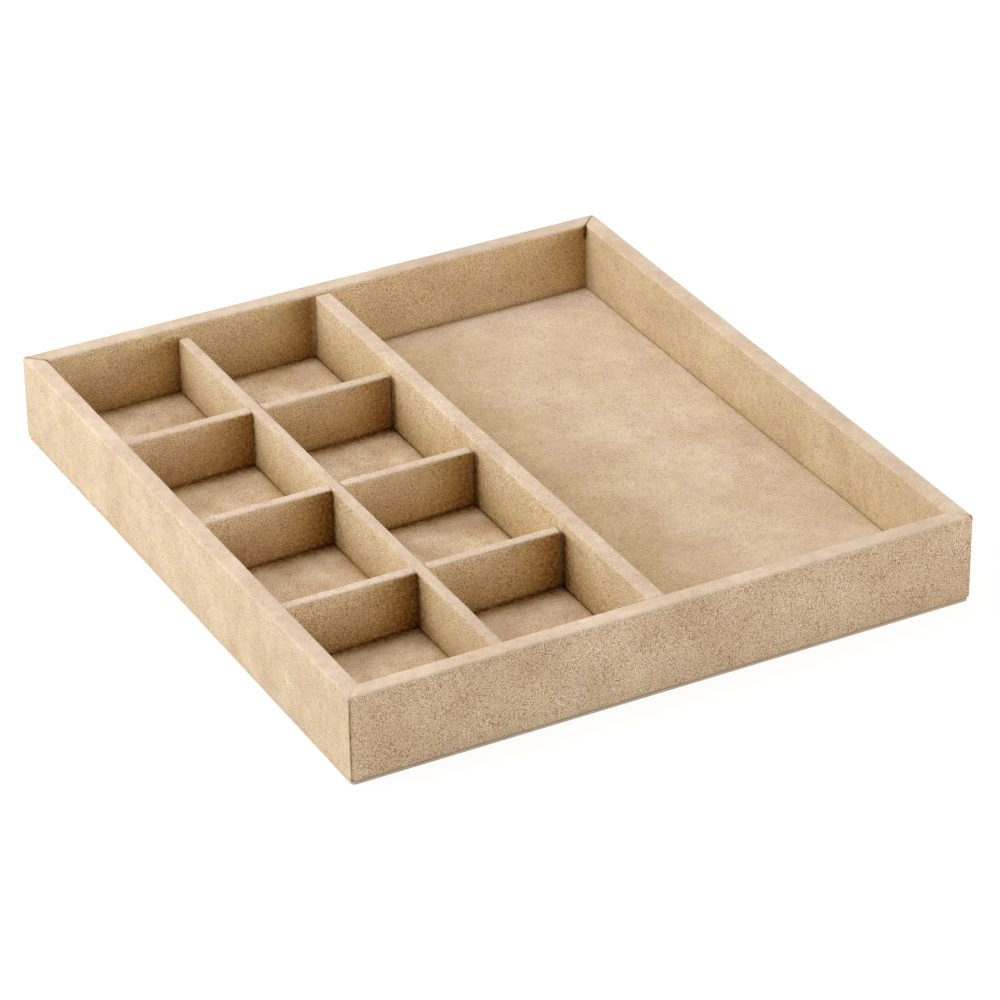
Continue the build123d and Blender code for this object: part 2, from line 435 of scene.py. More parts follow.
@dataclass(frozen=True)
class Hollow:
    """The open space of one compartment, and the painted shade along the lines round it.

    A standing face has painted shade at its foot and at its far end: the right-hand end of the face at the
    back, the back end of the face at the right, and so on round. The tops are the heights of what closes the
    hollow at the right, the left, the back and the front. The lines are narrow, and those of the floor and of
    the faces at the sides lie line_inset away from the corner. A depth below zero paints light instead.
    """

    low: Vector
    high: Vector
    tops: tuple[float, float, float, float]
    back_end: Fold
    side_end: Fold
    side_foot: Fold
    back_foot: Fold = Fold(0.38, 10.5 * MM, 1.6)
    floor_back: Fold = Fold(1.3, 3.9 * MM, 1.8)
    floor_side: Fold = Fold(0.3, 1.8 * MM)
    floor_left: Fold = Fold(0.3, 1.8 * MM)
    floor_line: Fold = Fold(0.0, MM)
    back_line: Fold = Fold(0.15, 0.3 * MM)
    side_line: Fold = Fold(0.85, 2.1 * MM, 3.0)
    line_inset: float = 0.0
    # Painted contact shade along the feet and the floor's edges, fading along the face.
    contact_shade: Fold = Fold(0.9, 0.3 * MM)
    contact_shade_run: float = 35 * MM
    # Painted shade on faces turned towards a near gap.
    groove_shade: float = 0.1
    groove_reach: float = 1.5 * MM
    groove_turn: Span = (0.1, 0.8)
    top_fade: float = 1.5 * MM
    level_from: float = 0.5
    floor_band: float = MM
    margin: float = 1.2 * MM

    def holds(self, point: Vector) -> bool:
        """Whether a point is in the hollow, or within its margin into a wall, a divider or the floor."""
        low, high = self.low, self.high
        return low.z - self.margin <= point.z <= high.z and all(
            low[axis] - self.margin <= point[axis] <= high[axis] + self.margin for axis in range(2)
        )

    def depth(self, point: Vector, normal: Vector) -> float:
        """How much painted shade lies at a point on a face of the hollow.

        Args:
            point: The point.
            normal: The way that the face looks.

        Returns:
            The painted shade, from 0 to about 2.5, or less than 0 where light is painted instead.
        """
        to_left, to_front, height = point - self.low
        to_right, to_back, _ = self.high - point
        if normal.z > self.level_from and height < self.floor_band:
            across = self.floor_side.at(to_right) + self.floor_left.at(to_left)
            behind = self.floor_back.at(to_back) + self.floor_line.at(abs(to_back - self.line_inset))
            nearest = self.contact_shade.at(min(to_left, to_right, to_front, to_back))
            return across + behind + self.floor_side.at(to_front) + nearest
        right, left, back, front = zip((to_right, to_left, to_back, to_front), self.tops)
        if abs(normal.y) > abs(normal.x):
            far = right if normal.y < 0 else left
            end, foot, line = self.back_end, self.back_foot, self.back_line.at(far[0])
        else:
            far = back if normal.x < 0 else front
            end, foot, line = self.side_end, self.side_foot, self.side_line.at(abs(far[0] - self.line_inset))
        beside_far = 1.0 - ease(point.z, far[1] - self.top_fade, far[1])
        depth = (end.at(far[0]) + line) * beside_far + foot.at(height)
        depth += self.contact_shade.at(height) * exp(-((far[0] / self.contact_shade_run) ** 2))
        facings = (normal.x, -normal.x, normal.y, -normal.y, -normal.z)
        gaps = (to_right, to_left, to_back, to_front, height)
        turned = max((facing for facing, gap in zip(facings, gaps) if gap < self.groove_reach), default=0.0)
        return depth * (1.0 - ease(normal.z, *UPTURNS)) + self.groove_shade * ease(turned, *self.groove_turn)


# The painted shade at the far ends of the back face and of the side faces, row by row from the front.
LEFT_COLUMN = (
    (Fold(1.15, 12.5 * MM, 1.5), Fold(0.95, 7.5 * MM)),
    (Fold(1.15, 12.5 * MM, 1.5), Fold(0.8, 5.2 * MM)),
    (Fold(0.88, 12.5 * MM, 1.5), Fold(0.3, 4.5 * MM)),
    (Fold(0.68, 13.0 * MM, 0.95), Fold(0.95, 5.4 * MM)),
)
RIGHT_COLUMN = (
    (Fold(1.05, 12.5 * MM, 1.5), Fold(1.4, 6.5 * MM)),
    (Fold(0.93, 12.5 * MM, 1.5), Fold(1.1, 4.2 * MM)),
    (Fold(0.88, 12.5 * MM, 1.5), Fold(0.7, 4.2 * MM)),
    (Fold(0.82, 11.8 * MM, 1.33), Fold(0.15, 5.0 * MM)),
)
# Painted shade at the feet of the faces at the sides; in the right column the back line is painted light in
# the groove at the main divider.
LEFT_SHADE = {"side_foot": Fold(0.5, 10.5 * MM, 1.1)}
RIGHT_SHADE = {
    "side_foot": Fold(0.6, 14.7 * MM, 1.1),
    "back_line": Fold(-0.6, 1.4 * MM, 3.0),
    "side_line": Fold(0.6, 1.3 * MM, 2.0),
    "line_inset": 1.5 * MM,
}
# The large compartment: a painted shadow on the floor beside the main divider, painted light on the floor
# towards the back wall, and a painted shade line along the floor at the back.
LARGE_SHADE = {
    "back_end": Fold(0.85, 11 * MM, 0.9),
    "side_end": Fold(0.4, 5 * MM),
    "side_foot": Fold(0.12, 14 * MM, 1.2),
    "back_foot": Fold(-0.05, 6 * MM),
    "floor_back": Fold(-0.22, 12 * MM),
    "floor_side": Fold(0.0, MM),
    "floor_left": Fold(0.5, 34 * MM),
    "floor_line": Fold(0.85, 1.6 * MM, 2.0),
    "side_line": Fold(0.15, 0.6 * MM),
    "line_inset": 1.5 * MM,
    "contact_shade": Fold(0.15, 0.6 * MM),
    "contact_shade_run": 1.0,
    "groove_shade": 0.2,
}


def hollows() -> list[Hollow]:
    """Finds the nine compartments between the frame's pieces.

    Returns:
        The small compartments' hollows, row by row from the front, and the large one's.
    """
    left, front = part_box("left_wall_core")[1].x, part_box("front_wall_core")[1].y
    right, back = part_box("right_wall_core")[0].x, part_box("back_wall_core")[0].y
    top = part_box("back_wall_wrap")[1].z
    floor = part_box("large_side_floor_suede")[1].z
    centre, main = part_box("centre_divider_wrap"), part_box("main_divider_wrap")
    crosses = [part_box(f"cross_divider_wrap_{number}") for number in CROSS_NUMBERS]
    cross_top = crosses[0][1].z
    starts = [front, *(high.y for _, high in crosses)]
    ends = [*(low.y for low, _ in crosses), back]
    columns = (
        (left, centre[0].x, (centre[1].z, top), LEFT_COLUMN, LEFT_SHADE),
        (centre[1].x, main[0].x, (main[1].z, centre[1].z), RIGHT_COLUMN, RIGHT_SHADE),
    )
    found = []
    for row, (start, end) in enumerate(zip(starts, ends)):
        behind = top if end == back else cross_top
        ahead = top if start == front else cross_top
        for near, far, tops, ends_here, column_shade in columns:
            low, high = Vector((near, start, floor)), Vector((far, end, top))
            found.append(Hollow(low, high, (*tops, behind, ahead), *ends_here[row], **column_shade))
    low, high = Vector((main[1].x, front, floor)), Vector((right, back, top))
    found.append(Hollow(low, high, (top, main[1].z, top, top), **LARGE_SHADE))
    return found


HOLLOWS = hollows()


@dataclass
class Skin:
    """A sheet of suede while it is being shaped: its outer face, with no thickness yet."""

    mesh: bmesh.types.BMesh
    cell: float
    snap: float = 0.05 * MM
    round_steps: int = 4
    probe: float = 1.5 * MM
    # Where the faces are cut beside each line of painted shade.
    painted_shade_cuts: Span = (0.4 * MM, 1.1 * MM)

    @classmethod
    def block(cls, low: Vector, high: Vector, cell: float) -> "Skin":
        """Starts from the faces of a block.

        Args:
            low: The block's lowest corner.
            high: Its highest corner.
            cell: How large the cells are that its faces are to be cut into.

        Returns:
            The skin.
        """
        mesh = bmesh.new()
        bmesh.ops.create_cube(mesh, size=1.0)
        bmesh.ops.scale(mesh, vec=high - low, verts=mesh.verts)
        bmesh.ops.translate(mesh, vec=(low + high) / 2, verts=mesh.verts)
        return cls(mesh, cell)

    def face_towards(self, way: Vector) -> bmesh.types.BMFace:
        """The face furthest out in a direction."""
        faces = self.mesh.faces
        return max(faces, key=lambda face: (face.calc_center_median().dot(way), face.normal.dot(way)))

    def open_underneath(self, turn_in: float) -> None:
        """Leaves only a strip that is turned in under the foot.

        Args:
            turn_in: How wide the strip is.
        """
        foot = self.face_towards(-UP)
        bmesh.ops.inset_region(self.mesh, faces=[foot], thickness=turn_in, use_even_offset=True)
        bmesh.ops.delete(self.mesh, geom=[foot], context="FACES_ONLY")

    def round_edges(self, edges: list[bmesh.types.BMEdge], radius: float) -> None:
        """Rounds some edges to a radius."""
        round_arc = {"affect": "EDGES", "segments": self.round_steps, "profile": 0.5, "material": -1}
        bmesh.ops.bevel(self.mesh, geom=edges, offset=radius, **round_arc)

    def slice(self, point: Vector, normal: Vector, clear: bool = False) -> None:
        """Cuts the faces at a plane.

        Args:
            point: A point on the plane.
            normal: The way that the plane faces.
            clear: Whether what lies in front of the plane is thrown away.
        """
        everything = [*self.mesh.verts, *self.mesh.edges, *self.mesh.faces]
        bmesh.ops.bisect_plane(
            self.mesh, geom=everything, plane_co=point, plane_no=normal, dist=self.snap, clear_outer=clear
        )

    def slice_evenly(self) -> None:
        """Cuts the faces into cells of about the same size along all three axes."""
        low = Vector([min(vert.co[axis] for vert in self.mesh.verts) for axis in range(3)])
        high = Vector([max(vert.co[axis] for vert in self.mesh.verts) for axis in range(3)])
        for way, length in zip(AXES, high - low):
            count = round(length / self.cell)
            for step in range(1, count):
                self.slice(low + way * length * step / count, way)

    def slice_beside_shade_lines(self) -> None:
        """Cuts the faces beside the lines where pieces meet, so that painted shade can be laid along them."""
        ranges = [sorted(vert.co[axis] for vert in self.mesh.verts) for axis in range(3)]
        planes = {
            (axis, round(corner[axis] + inwards * cut, 5))
            for hollow in HOLLOWS
            for corner, inwards, axes in ((hollow.low, 1, 3), (hollow.high, -1, 2))
            for axis in range(axes)
            for cut in self.painted_shade_cuts
        }
        for axis, place in sorted(planes):
            if ranges[axis][0] + self.probe < place < ranges[axis][-1] - self.probe:
                self.slice(AXES[axis] * place, AXES[axis])

    def cut_out(self, low: Vector, high: Vector) -> None:
        """Cuts a slot out of the faces.

        Args:
            low: The lowest corner of the space that the slot takes.
            high: Its highest corner.
        """
        for way in AXES:
            self.slice(low, way)
            self.slice(high, way)
        inside = [
            face for face in self.mesh.faces
            if all(low[axis] < face.calc_center_median()[axis] < high[axis] for axis in range(3))
        ]
        bmesh.ops.delete(self.mesh, geom=inside, context="FACES")

    def wander(self, shift: Vector, sizes: Unevenness) -> None:
        """Lets the faces lie a little unevenly, as glued suede does.

        Args:
            shift: Where the unevenness starts, so that no two pieces share it.
            sizes: The length and the height of each kind of unevenness.
        """
        self.mesh.normal_update()
        for vert in self.mesh.verts:
            lift = sum(noise.noise((vert.co + shift) / length) * height for length, height in sizes)
            vert.co += vert.normal * lift

    def read_facing_and_shade(self, seam_shade: SeamShade) -> None:
        """Writes at each vertex how far its face is turned up and how much painted shade it gets.

        Args:
            seam_shade: How much painted shade the piece's own seams lay at a point.
        """
        upturn = self.mesh.verts.layers.float.new("upturn")
        fold = self.mesh.verts.layers.float.new("fold")
        for vert in self.mesh.verts:
            vert[upturn] = max(0.0, vert.normal.z)
            way = Vector((vert.normal.x, vert.normal.y, abs(vert.normal.z)))
            probe = vert.co + way * self.probe
            depths = (hollow.depth(vert.co, vert.normal) for hollow in HOLLOWS if hollow.holds(probe))
            vert[fold] = next(depths, 0.0) + seam_shade(vert.co)

    def finish(self, name: str, thickness: float, seam_shade: SeamShade = lambda point: 0.0) -> bpy.types.Object:
        """Gives the sheet its thickness, inwards, and makes it an object.

        Args:
            name: The object's name.
            thickness: The suede's thickness.
            seam_shade: How much painted shade the piece's own seams lay at a point.

        Returns:
            The object, at the origin.
        """
        mesh = self.mesh
        self.slice_beside_shade_lines()
        bmesh.ops.dissolve_degenerate(mesh, dist=self.snap, edges=mesh.edges)
        bmesh.ops.solidify(mesh, geom=list(mesh.faces), thickness=thickness)
        mesh.normal_update()
        self.read_facing_and_shade(seam_shade)
        for face in mesh.faces:
            face.smooth = True
        for edge in mesh.edges:
            edge.smooth = len(edge.link_faces) == 2 and edge.calc_face_angle() < SHARP
        return add_mesh(name, mesh)


def hand_over(
    obj: bpy.types.Object, node: str, flat: tuple[float, float]
) -> None:
    """Args:
        obj: The finished piece.
        node: The node of the frame that it stands for.
        flat: The width and the length that it was cut to.
    """
    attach(obj, BODY)
    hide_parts(node)
    LOG.info("%s: cut %.0f x %.0f mm", obj.name, flat[0] / MM, flat[1] / MM)


@dataclass(frozen=True)
class Seam:
    """How far a mitre seam stands open, zone by zone, and how deep its edges are rolled in."""

    rim_gap: float = 0.15 * MM
    rim_roll: float = 0.25 * MM
    outer_end_gap: float = 0.15 * MM
    upright_gap: float = 0.15 * MM
    upright_roll: float = 0.2 * MM
    inner_top_gap: float = 0.4 * MM
    inner_roll: float = 0.2 * MM
    foot_tuck: float = 0.4 * MM
    foot_gap: float = 0.0


TIGHT = 0.03 * MM
# The seam at the anticlockwise end of each wall.
SEAMS = {
    Side.FRONT: Seam(
        rim_gap=TIGHT, rim_roll=0.04 * MM, outer_end_gap=0.5 * MM, upright_gap=0.1 * MM,
        upright_roll=0.12 * MM, inner_roll=0.15 * MM, foot_tuck=0.8 * MM,
    ),
    Side.RIGHT: Seam(inner_top_gap=1.4 * MM, inner_roll=0.3 * MM),
    Side.BACK: Seam(outer_end_gap=0.2 * MM),
    Side.LEFT: Seam(
        rim_gap=0.0, rim_roll=0.01 * MM, outer_end_gap=TIGHT, upright_gap=0.14 * MM, upright_roll=0.25 * MM,
        inner_top_gap=TIGHT, inner_roll=0.05 * MM, foot_tuck=0.0, foot_gap=0.5 * MM,
    ),
}


@dataclass(frozen=True)
class Mitre:
    """One end of a wall: its outer corner at the foot, two unit vectors from there and the seam.

    The first vector leaves the wall square to the cut, and the second runs along it to the inner corner.
    """

    side: Side
    corner: Vector
    across: Vector
    inward: Vector
    seam: Seam


@dataclass
class WallSuede:
    """The four strips of suede round the walls, mitred at the corners."""

    low: Vector
    high: Vector
    wall_thickness: float
    suede_thickness: float
    inner_foot: float
    turn_in: float
    cell: float = 2.0 * MM
    edge_radius: float = 1.3 * MM
    # How many edge radii below the rim its seam begins, and over how many it grows, outside and inside.
    rim_starts: Span = (2.0, 0.8)
    rim_heights: Span = (1.5, 0.6)
    seam_reach: float = 1.2 * MM
    seam_cuts: tuple[float, ...] = (0.08, 0.2, 0.4, 0.65, 1.0)
    slit_length: float = 2.5 * MM
    inner_slit: float = 8.0 * MM
    foot_slit: float = 1.6 * MM
    raggedness: float = 1.6
    ragged_length: float = 3 * MM
    # Painted shade beside the seams: the gap at which it is full, and how far it reaches.
    full_seam_shade: float = 0.28 * MM
    seam_shade_reach: float = 0.3 * MM
    tuck_height: float = 2.2 * MM
    tuck_cuts: tuple[float, ...] = (0.1, 0.3, 0.6)
    tuck_reach: float = 5.0 * MM
    cut_gap: float = 0.02 * MM
    unevenness: Unevenness = ((16 * MM, 0.10 * MM), (4 * MM, 0.03 * MM))
    # How far apart the four strips lie in the unevenness and on the roll.
    uneven_step: float = 0.37
    roll_step: float = 0.53
    roll_height: float = 0.11
    nap_stretch: float = 1.45

    @classmethod
    def from_frame(cls) -> "WallSuede":
        """Reads the sizes from the frame's own pieces.

        Returns:
            The suede of the four walls.
        """
        front_low, front_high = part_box("front_wall_wrap")
        core_low, core_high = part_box("front_wall_core")
        back_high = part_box("back_wall_wrap")[1]
        suede = core_low.y - front_low.y
        return cls(
            low=Vector((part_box("left_wall_wrap")[0].x, front_low.y, front_low.z)),
            high=Vector((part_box("right_wall_wrap")[1].x, back_high.y, back_high.z)),
            wall_thickness=core_high.y - core_low.y + 2 * suede,
            suede_thickness=suede,
            inner_foot=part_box("base_panel")[1].z,
            turn_in=front_high.y - front_low.y,
        )

    def ring(self) -> Skin:
        """Models the suede of all four walls as one ring, ready to be cut at the corners.

        Returns:
            The skin of the ring.
        """
        skin = Skin.block(self.low, self.high, self.cell)
        mesh = skin.mesh
        skin.open_underneath(self.turn_in)
        rim = skin.face_towards(UP)
        bmesh.ops.inset_region(mesh, faces=[rim], thickness=self.wall_thickness, use_even_offset=True)
        dropped = bmesh.ops.extrude_discrete_faces(mesh, faces=[rim])["faces"]
        bmesh.ops.translate(mesh, vec=UP * (self.inner_foot - self.high.z), verts=dropped[0].verts)
        bmesh.ops.delete(mesh, geom=dropped, context="FACES_ONLY")
        mesh.normal_update()
        arrises = [edge for edge in mesh.edges if edge.is_manifold and edge.calc_face_angle_signed() > SHARP]
        skin.round_edges(arrises, self.edge_radius)
        skin.slice_evenly()
        return skin

    def mitres(self, side: Side) -> list[Mitre]:
        """Finds the mitres of a wall.

        Args:
            side: The wall.

        Returns:
            The mitre at the wall's anticlockwise end, and the one at its other end.
        """
        order = list(Side)
        middle, half = (self.low + self.high) / 2, (self.high - self.low) / 2
        found = []
        for end, before in ((1, side), (-1, order[order.index(side) - 1])):
            way = side.outward + side.along * end
            corner = middle + Vector((way.x * half.x, way.y * half.y, -half.z))
            across = (side.along * end - side.outward).normalized()
            found.append(Mitre(side, corner, across, -way.normalized(), SEAMS[before]))
        return found

    def openness(self, mitre: Mitre, point: Vector) -> tuple[float, float, float]:
        """Reads how a seam stands open beside a point.

        Args:
            mitre: The wall's end.
            point: The point.

        Returns:
            The point's distance from the mitre, and the seam's gap and roll there.
        """
        seam = mitre.seam
        depth = (point - mitre.corner).dot(mitre.inward) / sqrt(2)
        inner = self.wall_thickness - self.edge_radius
        at_inner = ease(depth, inner - self.edge_radius, inner)
        rim_foot = self.high.z - mix(*self.rim_starts, at_inner) * self.edge_radius
        on_rim = ease(point.z, rim_foot, rim_foot + mix(*self.rim_heights, at_inner) * self.edge_radius)
        near_top = ease(point.z, self.high.z - self.inner_slit, self.high.z - self.edge_radius)
        rim_gap = mix(seam.outer_end_gap, seam.rim_gap, ease(depth, 0, self.slit_length))
        side_gap = mix(seam.upright_gap, seam.inner_top_gap * near_top, at_inner)
        side_roll = mix(seam.upright_roll, seam.inner_roll * near_top, at_inner)
        gap = mix(side_gap, rim_gap, on_rim)
        ragged = noise.noise((point + mitre.side.outward) / self.ragged_length)
        gap *= max(0.0, 1.0 + self.raggedness * ragged)
        gap += seam.foot_gap * ease(point.z, self.low.z + self.foot_slit, self.low.z)
        return (mitre.corner - point).dot(mitre.across), gap, mix(side_roll, seam.rim_roll, on_rim)

    def open_seam(self, skin: Skin, mitre: Mitre) -> None:
        """Draws the suede back from a mitre and rolls its edge in, and rounds the corner's foot.

        Args:
            skin: The wall's skin, cut at the mitre.
            mitre: The wall's end.
        """
        skin.mesh.normal_update()
        for vert in skin.mesh.verts:
            distance, gap, roll = self.openness(mitre, vert.co)
            away = hypot(vert.co.x - mitre.corner.x, vert.co.y - mitre.corner.y)
            if distance < self.seam_reach:
                near = 1.0 - distance / self.seam_reach
                vert.co -= mitre.across * gap / 2 * near
                vert.co -= vert.normal * roll * (1.0 - sqrt(max(0.0, 1.0 - near * near)))
            low = 1.0 - (vert.co.z - self.low.z) / self.tuck_height
            if away < self.tuck_reach and 0.0 < low <= 1.0:
                fade = (1.0 - away / self.tuck_reach) ** 2
                vert.co += mitre.inward * mitre.seam.foot_tuck * (1.0 - sqrt(1.0 - low * low)) * fade

    def pressed(self, mitres: list[Mitre], point: Vector) -> float:
        """Reads the painted shade beside the seams of a wall, deeper where a seam stands further open.

        Args:
            mitres: The wall's ends.
            point: The point on its suede.

        Returns:
            The painted shade, from 0 to 1.
        """
        depth = 0.0
        for mitre in mitres:
            distance, gap, _ = self.openness(mitre, point)
            fade = exp(-max(0.0, distance - gap / 2) / self.seam_shade_reach)
            depth = max(depth, min(gap / self.full_seam_shade, 1.0) * fade)
        return depth

    def strip(self, ring: Skin, side: Side) -> bpy.types.Object:
        """Cuts one wall's strip out of the ring and finishes it.

        Args:
            ring: The ring, which is left as it is.
            side: The wall.

        Returns:
            The strip of suede.
        """
        skin = Skin(ring.mesh.copy(), self.cell)
        mitres = self.mitres(side)
        for mitre in mitres:
            corner, across = mitre.corner, mitre.across
            skin.slice(corner - across * self.cut_gap / 2, across, clear=True)
            for share in self.seam_cuts:
                skin.slice(corner - across * self.seam_reach * share, across)
            for share in self.tuck_cuts:
                skin.slice(corner + UP * self.tuck_height * share, UP)
            self.open_seam(skin, mitre)
        skin.wander(side.outward * self.uneven_step, self.unevenness)
        return skin.finish(f"{side.word}_wall_suede", self.suede_thickness, partial(self.pressed, mitres))

    def flat_cut(self, side: Side) -> tuple[tuple[float, float], float]:
        """Works out what the strip was cut from.

        Args:
            side: The wall.

        Returns:
            The width and length of the cut, and the area that is left once its ends are mitred.
        """
        size = self.high - self.low
        length = abs(side.along.dot(size))
        inner_height = self.high.z - self.inner_foot
        width = size.z + self.wall_thickness + inner_height + self.turn_in
        area = (
            size.z * length
            + self.wall_thickness * (length - self.wall_thickness)
            + inner_height * (length - 2 * self.wall_thickness)
            + self.turn_in * (length - self.turn_in)
        )
        return (width, length), area

    def build(self, finishes: dict[Side, Suede]) -> None:
        """Builds and dresses the four strips.

        Args:
            finishes: The suede of each wall.
        """
        ring = self.ring()
        for side in Side:
            obj = self.strip(ring, side)
            shift = side.outward * self.roll_step + UP * self.roll_height
            obj.data.materials.append(finishes[side].material(obj.name, shift, self.nap_stretch))
            flat, area = self.flat_cut(side)
            hand_over(obj, f"{side.word}_wall_wrap", flat)
        ring.mesh.free()


@dataclass
class FloorSuede:
    """The suede of one floor, wrapped round its board and turned in underneath."""

    side: str
    low: Vector
    high: Vector
    suede_thickness: float
    cell: float = 2.5 * MM
    turn_in: float = 15 * MM
    fullness: float = 0.2 * MM
    edge_radius: float = 0.5 * MM
    corner_radius: float = 1.5 * MM
    unevenness: Unevenness = ((30 * MM, 0.12 * MM), (7 * MM, 0.04 * MM))

    @classmethod
    def from_frame(cls, side: str) -> "FloorSuede":
        """Reads the sizes from the frame's two nodes whose names start with the side."""
        low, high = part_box(f"{side}_floor_suede")
        return cls(side, low, high, high.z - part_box(f"{side}_floor_board")[1].z)

    def build(self, finish: Suede, shift: Vector) -> None:
        """Builds and dresses the floor.

        Args:
            finish: The suede.
            shift: Where it was cut from the roll.
        """
        out = Vector((self.fullness, self.fullness, 0.0))
        skin = Skin.block(self.low - out, self.high + out, self.cell)
        skin.open_underneath(self.turn_in)
        skin.round_edges([edge for edge in skin.mesh.edges if runs_along(edge, Z)], self.corner_radius)
        skin.round_edges(list(skin.face_towards(UP).edges), self.edge_radius)
        skin.slice_evenly()
        skin.wander(shift, self.unevenness)
        obj = skin.finish(f"{self.side}_floor_cloth", self.suede_thickness)
        obj.data.materials.append(finish.material(obj.name, shift))
        size = self.high - self.low
        reach = size.z + self.turn_in
        flat = (size.x + 2 * reach, size.y + 2 * reach)
        hand_over(obj, f"{self.side}_floor_suede", flat)


@dataclass
class DividerSuede:
    """The sleeve of suede round one divider."""

    name: str
    core: str
    run: Run
    low: Vector
    high: Vector
    suede_thickness: float
    slots: list[Corners]
    cell: float = 1.6 * MM
    tuck: float = 1.8 * MM
    end_radius: float = 1.7 * MM
    edge_radius: float = 1.3 * MM
    foot_radius: float = 0.3 * MM
    unevenness: Unevenness = ((14 * MM, 0.12 * MM), (4 * MM, 0.03 * MM))
    nap_stretch: float = 1.3

    @classmethod
    def from_frame(cls, name: str, core: str, run: Run, slots: list[Corners]) -> "DividerSuede":
        """Reads the sizes from the frame's nodes of the sleeve and of the strip inside."""
        low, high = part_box(name)
        return cls(name, core, run, low, high, high.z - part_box(core)[1].z, slots)

    def sleeve(self) -> Skin:
        """Models the sleeve.

        Returns:
            Its skin.
        """
        skin = Skin.block(self.low, self.high, self.cell)
        mesh = skin.mesh
        width_axis = 1 - self.run.value
        skin.open_underneath(self.tuck)
        ends = [edge for edge in skin.face_towards(UP).edges if runs_along(edge, width_axis)]
        skin.round_edges(ends, self.end_radius)
        mesh.normal_update()
        edges = {edge for face in mesh.faces if round(face.normal[width_axis]) for edge in face.edges}
        foot = {edge for edge in edges if all(vert.co.z < self.low.z + skin.snap for vert in edge.verts)}
        skin.round_edges(list(edges - foot), self.edge_radius)
        skin.round_edges([edge for edge in foot if edge.is_valid], self.foot_radius)
        skin.slice_evenly()
        for slot_low, slot_high in self.slots:
            skin.cut_out(slot_low, slot_high)
        return skin

    def build(self, finish: Suede, shift: Vector) -> None:
        """Builds and dresses the sleeve.

        Args:
            finish: The suede.
            shift: Where it was cut from the roll.
        """
        skin = self.sleeve()
        skin.wander(shift, self.unevenness)
        obj = skin.finish(self.name.replace("_wrap", "_suede"), self.suede_thickness)
        obj.data.materials.append(finish.material(obj.name, shift, self.nap_stretch))
        size = self.high - self.low
        length, thickness = size[self.run.value], size[1 - self.run.value]
        width = 2 * size.z + thickness + 2 * self.tuck
        flat = (width, length + 2 * thickness)
        hand_over(obj, self.name, flat)


@dataclass
class Dividers:
    """The long dividers, and the cross dividers that lap with the centre one at half height."""

    lap_clearance: float = 0.2 * MM
    margin: float = 2.0 * MM
    # Where the first divider was cut from the roll, and how much further each of the next was.
    roll_start: Triple = (0.41, 0.0, 0.17)
    roll_step: Triple = (0.13, 0.29, 0.0)

    def crossings(self) -> tuple[list[Corners], list[Corners]]:
        """Works out the slots where the cross dividers pass the centre divider.

        Returns:
            The slots at the centre divider's foot, and the slots at the cross dividers' tops.
        """
        centre_low, centre_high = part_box("centre_divider_wrap")
        foot_slots, top_slots = [], []
        for number in CROSS_NUMBERS:
            low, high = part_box(f"cross_divider_wrap_{number}")
            lap = (low.z + high.z) / 2
            out = Vector((self.margin, self.lap_clearance, self.margin))
            foot_slots.append((
                Vector((centre_low.x, low.y, low.z)) - out,
                Vector((centre_high.x + out.x, high.y + out.y, lap + self.lap_clearance)),
            ))
            out = Vector((self.lap_clearance, self.margin, self.margin))
            top_slots.append((
                Vector((centre_low.x - out.x, low.y - out.y, lap)),
                Vector((centre_high.x, high.y, high.z)) + out,
            ))
        return foot_slots, top_slots

    def build(self, main: Suede, centre: Suede, crosses: tuple[Suede, ...]) -> None:
        """Builds and dresses all the dividers.

        Args:
            main: The suede of the main divider.
            centre: The suede of the centre divider.
            crosses: The suede of each cross divider, from the front.
        """
        foot_slots, top_slots = self.crossings()
        made = [
            ("main_divider_wrap", Run.FRONT_TO_BACK, [], main),
            ("centre_divider_wrap", Run.FRONT_TO_BACK, foot_slots, centre),
        ]
        for number, slot, chosen in zip(CROSS_NUMBERS, top_slots, crosses):
            made.append((f"cross_divider_wrap_{number}", Run.ACROSS, [slot], chosen))
        for place, (name, run, slots, chosen) in enumerate(made):
            shift = Vector([start + step * place for start, step in zip(self.roll_start, self.roll_step)])
            DividerSuede.from_frame(name, name.replace("_wrap", "_core"), run, slots).build(chosen, shift)


@dataclass
class Boards:
    """The pieces that keep the frame's own shapes, each with its finish."""

    wood: tuple[str, ...] = ("base_panel", "main_divider_core")
    grey: tuple[str, ...] = ("small_side_floor_board", "large_side_floor_board", "centre_divider_core")
    cover: str = "bottom_cover"

    def dress(self) -> None:
        """Gives every board its material."""
        rails = [f"{side.word}_wall_core" for side in Side]
        crosses = [f"cross_divider_core_{number}" for number in CROSS_NUMBERS]
        chosen = [
            (FIBREBOARD.material("pressed_fibreboard"), [*rails, *self.wood]),
            (GREYBOARD.material("pressed_greyboard"), [*self.grey, *crosses]),
            (COVER_PAPER.material("cover_paper"), [self.cover]),
        ]
        for material, nodes in chosen:
            for node in nodes:
                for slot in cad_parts[node].material_slots:
                    slot.material = material
                LOG.info("%s: %s", node, material.name)


@dataclass(frozen=True)
class Softbox:
    """A square studio lamp that points at the tray."""

    name: str
    azimuth: float
    elevation: float
    power: float
    distance: float = 1.6
    size: float = 1.4

    def hang(self) -> None:
        """Hangs the lamp."""
        lamp = bpy.data.lights.new(self.name, "AREA")
        lamp.shape = "SQUARE"
        lamp.size = self.size
        lamp.energy = self.power
        way = way_to(self.azimuth, self.elevation)
        turned = way.to_track_quat("Z", "Y").to_matrix().to_4x4()
        add_object(self.name, lamp).matrix_world = Matrix.Translation(way * self.distance) @ turned


